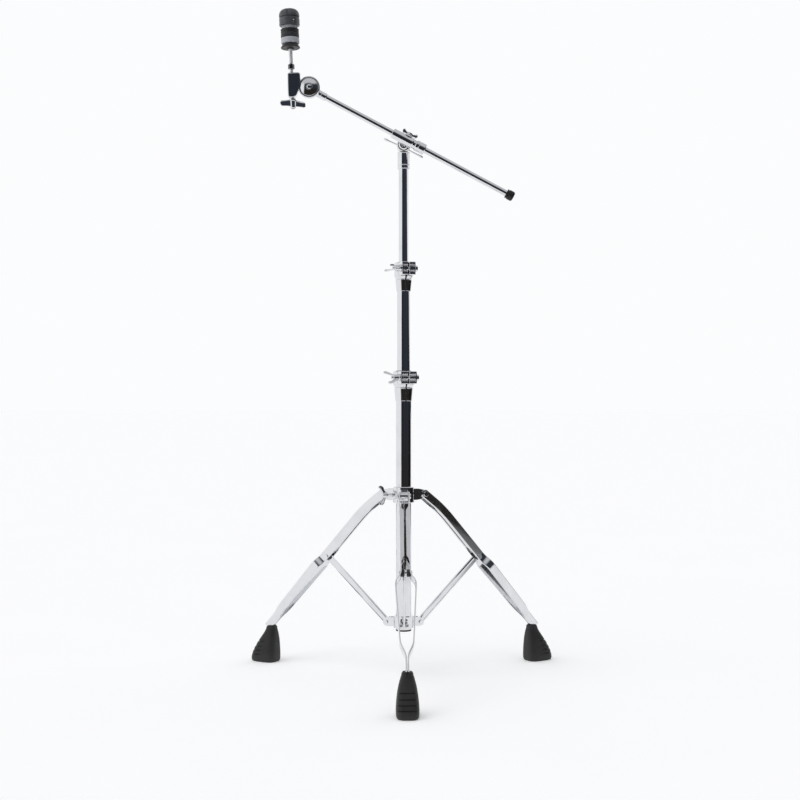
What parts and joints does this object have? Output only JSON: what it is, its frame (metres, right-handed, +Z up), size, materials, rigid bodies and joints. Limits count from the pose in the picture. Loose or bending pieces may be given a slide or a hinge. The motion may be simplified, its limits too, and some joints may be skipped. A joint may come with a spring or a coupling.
{
  "type": "cymbal boom stand",
  "caption": "Chrome tripod stand with telescoping tubes and a tilting, sliding boom that carries a padded cymbal seat with a quick-release topper.",
  "frame": {"origin": "on the floor, on the axis of the base tube, in the middle of the three feet", "axes": "+Z up along the tubes; the front leg points along -Y; the boom lies in the XZ direction with its cymbal end towards -X"},
  "size_m": [0.6188, 0.5386, 1.2808],
  "materials": {
    "chrome": "polished",
    "dark_steel": "blackened",
    "black_rubber": "matte",
    "black_plastic": "satin",
    "grey_felt": "felt",
    "charcoal_felt": "felt"
  },
  "bodies": {
    "stand": {"base_tube": "chrome", "base_tube_plug": "black_plastic", "brace_collar": "chrome", "brace_collar_screw": "dark_steel", "brace_pivot_pins": "chrome", "base_joint": "chrome", "base_bushing": "black_plastic", "base_clamp_bolt": "chrome"},
    "leg_collar": {"leg_collar": "chrome", "leg_pivot_pins": "chrome"},
    "leg_collar_bolt": {"leg_collar_wing_bolt": "chrome"},
    "base_nut": {"base_wing_nut": "chrome"},
    "mid_section": {"mid_tube": "chrome", "mid_joint": "chrome", "mid_clamp_bolt": "chrome"},
    "mid_nut": {"mid_wing_nut": "chrome"},
    "swivel_bush": {"mid_bushing": "black_plastic"},
    "top_section": {"top_tube": "chrome", "tilter_base": "chrome"},
    "boom_tilter": {"boom_holder": "chrome", "tilter_bolt": "chrome"},
    "tilter_nut": {"tilter_wing_nut": "chrome"},
    "boom_bolt": {"boom_wing_bolt": "chrome"},
    "rod_liner": {"boom_liner": "black_plastic"},
    "boom": {"boom_rod": "chrome", "boom_end_cap": "black_rubber", "boom_ferrule": "chrome", "rod_ratchet": "chrome"},
    "seat": {"seat_arm": "chrome", "seat_ratchet_bolt": "chrome", "seat_ratchet_nut": "chrome", "cymbal_post": "chrome", "post_lock_nut": "chrome", "seat_cup": "black_plastic", "lower_felt": "grey_felt"},
    "post_nut": {"post_wing_nut": "chrome"},
    "upper_felts": {"upper_felt": "charcoal_felt", "felt_cup": "black_plastic", "topper_washer": "grey_felt"},
    "topper": {"topper_body": "black_plastic", "topper_dome": "black_plastic"},
    "button_left": {"release_button_left": "chrome"},
    "button_front": {"release_button_front": "chrome"},
    "button_back": {"release_button_back": "chrome"},
    "front_leg": {"front_leg": "chrome", "front_leg_rivet": "chrome", "front_leg_spacers": "black_plastic", "front_foot": "black_rubber"},
    "front_brace": {"front_brace": "chrome"},
    "right_leg": {"right_leg": "chrome", "right_leg_rivet": "chrome", "right_leg_spacers": "black_plastic", "right_foot": "black_rubber"},
    "right_brace": {"right_brace": "chrome"},
    "left_leg": {"left_leg": "chrome", "left_leg_rivet": "chrome", "left_leg_spacers": "black_plastic", "left_foot": "black_rubber"},
    "left_brace": {"left_brace": "chrome"}
  },
  "joints": [
    {"name": "legs_fold", "type": "slide", "parent": "stand", "child": "leg_collar", "axis": [0, 0, 1], "range_m": [0, 0.1095]},
    {"name": "front_leg_hinge", "type": "hinge", "parent": "leg_collar", "child": "front_leg", "pos_m": [0, -0.044, 0.3515], "axis": [1, 0, 0], "range_deg": [0, 38.1]},
    {"name": "front_brace_hinge", "type": "hinge", "parent": "stand", "child": "front_brace", "pos_m": [0, -0.035, 0.1035], "axis": [-1, 0, 0], "range_deg": [0, 39.47]},
    {"name": "right_leg_hinge", "type": "hinge", "parent": "leg_collar", "child": "right_leg", "pos_m": [0.0381, 0.022, 0.3515], "axis": [-0.5, 0.866, 0], "range_deg": [0, 38.1]},
    {"name": "right_brace_hinge", "type": "hinge", "parent": "stand", "child": "right_brace", "pos_m": [0.03031, 0.0175, 0.1035], "axis": [0.5, -0.866, 0], "range_deg": [0, 39.47]},
    {"name": "left_leg_hinge", "type": "hinge", "parent": "leg_collar", "child": "left_leg", "pos_m": [-0.0381, 0.022, 0.3515], "axis": [-0.5, -0.866, 0], "range_deg": [0, 38.1]},
    {"name": "left_brace_hinge", "type": "hinge", "parent": "stand", "child": "left_brace", "pos_m": [-0.03031, 0.0175, 0.1035], "axis": [0.5, 0.866, 0], "range_deg": [0, 39.47]},
    {"name": "leg_collar_bolt_turn", "type": "hinge", "parent": "leg_collar", "child": "leg_collar_bolt", "pos_m": [-0.03464, -0.02, 0.3515], "axis": [-0.866, -0.5, 0], "continuous": true},
    {"name": "base_nut_turn", "type": "hinge", "parent": "stand", "child": "base_nut", "pos_m": [-0.00814, -0.0322, 0.57675], "axis": [-0.9659, -0.2588, 0], "continuous": true},
    {"name": "mid_tube_height", "type": "slide", "parent": "stand", "child": "mid_section", "axis": [0, 0, 1], "range_m": [-0.14, 0.18]},
    {"name": "mid_nut_turn", "type": "hinge", "parent": "mid_section", "child": "mid_nut", "pos_m": [-0.00592, -0.03161, 0.78525], "axis": [-0.9659, -0.2588, 0], "continuous": true},
    {"name": "boom_swivel", "type": "hinge", "parent": "mid_section", "child": "swivel_bush", "pos_m": [0, 0, 0.785], "axis": [0, 0, 1], "continuous": true},
    {"name": "top_tube_height", "type": "slide", "parent": "swivel_bush", "child": "top_section", "axis": [0, 0, 1], "range_m": [-0.12, 0.18]},
    {"name": "boom_tilt", "type": "hinge", "parent": "top_section", "child": "boom_tilter", "pos_m": [0, 0, 1.0245], "axis": [0, 1, 0], "range_deg": [-58, 33]},
    {"name": "tilter_nut_turn", "type": "hinge", "parent": "boom_tilter", "child": "tilter_nut", "pos_m": [0, 0.013, 1.0245], "axis": [0, 1, 0], "continuous": true},
    {"name": "boom_bolt_turn", "type": "hinge", "parent": "boom_tilter", "child": "boom_bolt", "pos_m": [0.0103, -0.02, 1.04067], "axis": [0.4664, 0, 0.8846], "continuous": true},
    {"name": "boom_turn", "type": "hinge", "parent": "boom_tilter", "child": "rod_liner", "pos_m": [0, -0.02, 1.034], "axis": [0.8846, 0, -0.4664], "range_deg": [-90, 90]},
    {"name": "boom_slide", "type": "slide", "parent": "rod_liner", "child": "boom", "axis": [0.8846, 0, -0.4664], "range_m": [-0.175, 0.11]},
    {"name": "seat_tilt", "type": "hinge", "parent": "boom", "child": "seat", "pos_m": [-0.181, -0.02, 1.1314], "axis": [0, 1, 0], "range_deg": [-60, 90]},
    {"name": "post_nut_turn", "type": "hinge", "parent": "seat", "child": "post_nut", "pos_m": [-0.2128, -0.02, 1.114], "axis": [-0.0419, 0, 0.9991], "continuous": true},
    {"name": "topper_lift", "type": "slide", "parent": "seat", "child": "topper", "axis": [-0.0419, 0, 0.9991], "range_m": [0, 0.028]},
    {"name": "upper_felts_lift", "type": "slide", "parent": "seat", "child": "upper_felts", "axis": [-0.0419, 0, 0.9991], "range_m": [0, 0.0141]},
    {"name": "button_left_press", "type": "slide", "parent": "topper", "child": "button_left", "axis": [0.9985, 0.0349, 0.0419], "range_m": [0, 0.0015], "stiffness_N_per_m": 400, "springref_m": -0.002},
    {"name": "button_front_press", "type": "slide", "parent": "topper", "child": "button_front", "axis": [-0.4844, 0.8746, -0.0203], "range_m": [0, 0.0016]},
    {"name": "button_back_press", "type": "slide", "parent": "topper", "child": "button_back", "axis": [-0.5146, -0.8572, -0.0216], "range_m": [0, 0.0016]}
  ],
  "couplings": [
    {"joint": "front_leg_hinge", "follows": "legs_fold", "rad_per_m": 6.0569},
    {"joint": "front_brace_hinge", "follows": "legs_fold", "rad_per_m": 6.2753},
    {"joint": "right_leg_hinge", "follows": "legs_fold", "rad_per_m": 6.0569},
    {"joint": "right_brace_hinge", "follows": "legs_fold", "rad_per_m": 6.2753},
    {"joint": "left_leg_hinge", "follows": "legs_fold", "rad_per_m": 6.0569},
    {"joint": "left_brace_hinge", "follows": "legs_fold", "rad_per_m": 6.2753},
    {"joint": "upper_felts_lift", "follows": "topper_lift", "ratio": 0.5},
    {"joint": "button_front_press", "follows": "button_left_press", "ratio": 1},
    {"joint": "button_back_press", "follows": "button_left_press", "ratio": 1}
  ]
}
